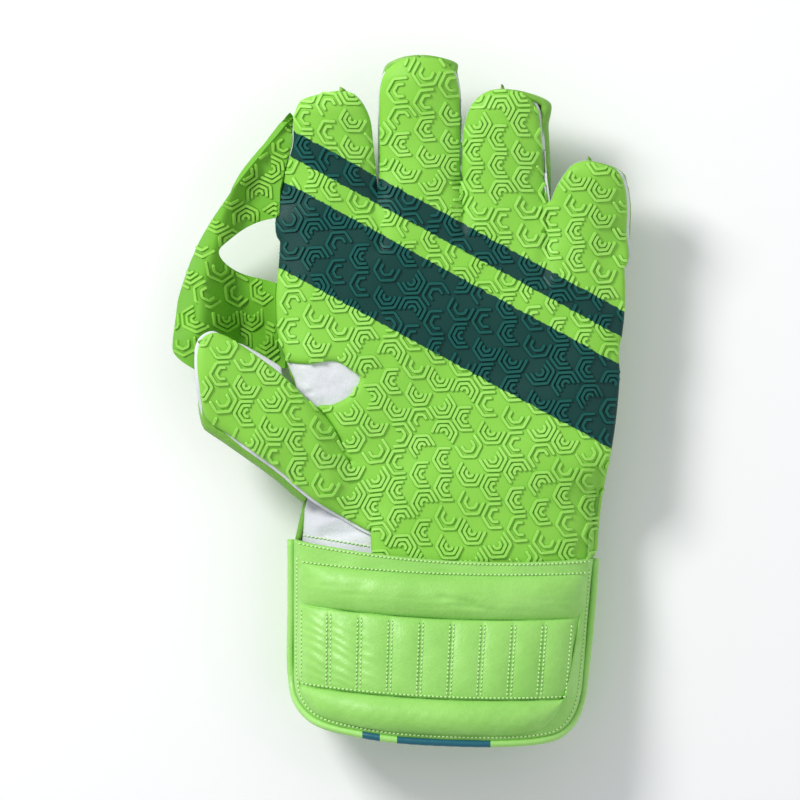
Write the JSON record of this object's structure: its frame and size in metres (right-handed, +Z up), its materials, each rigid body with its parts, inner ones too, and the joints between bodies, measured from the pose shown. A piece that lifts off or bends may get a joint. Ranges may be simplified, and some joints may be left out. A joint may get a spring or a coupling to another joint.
{
  "type": "wicketkeeping glove",
  "caption": "Left-hand wicketkeeping glove with a ribbed rubber palm, webbed thumb, padded finger backs and a padded gauntlet cuff, lying palm up.",
  "frame": {"origin": "on the ground below the middle of the glove", "axes": "+Y along the fingers, +X towards the little finger, +Z up, out of the palm"},
  "size_m": [0.2133, 0.3207, 0.0621],
  "materials": {
    "ribbed_rubber": "matt moulded rubber with hexagon ribs and two dark green bands",
    "web_rubber": "matt moulded rubber with hexagon ribs",
    "white_leather": "soft white leather with fine creases",
    "back_leather": "satin green leather with fine grain",
    "cuff_leather": "satin green leather with fine creases and pale stitching",
    "piping_leather": "satin green leather piping with two teal stretches"
  },
  "bodies": {
    "root": {"palm_face": "ribbed_rubber", "palm_lining": "white_leather", "thumb_face": "ribbed_rubber", "thumb_lining": "white_leather", "wrist_gusset": "white_leather", "index_shell": "back_leather", "middle_shell": "back_leather", "ring_shell": "back_leather", "little_shell": "back_leather", "thumb_shell": "back_leather", "back_of_hand": "back_leather", "web": "web_rubber", "cuff_front": "cuff_leather", "cuff_upper_roll": "cuff_leather", "cuff_channel_panel": "cuff_leather", "cuff_lower_roll": "cuff_leather", "cuff_back": "cuff_leather", "cuff_piping": "piping_leather"}
  },
  "joints": []
}
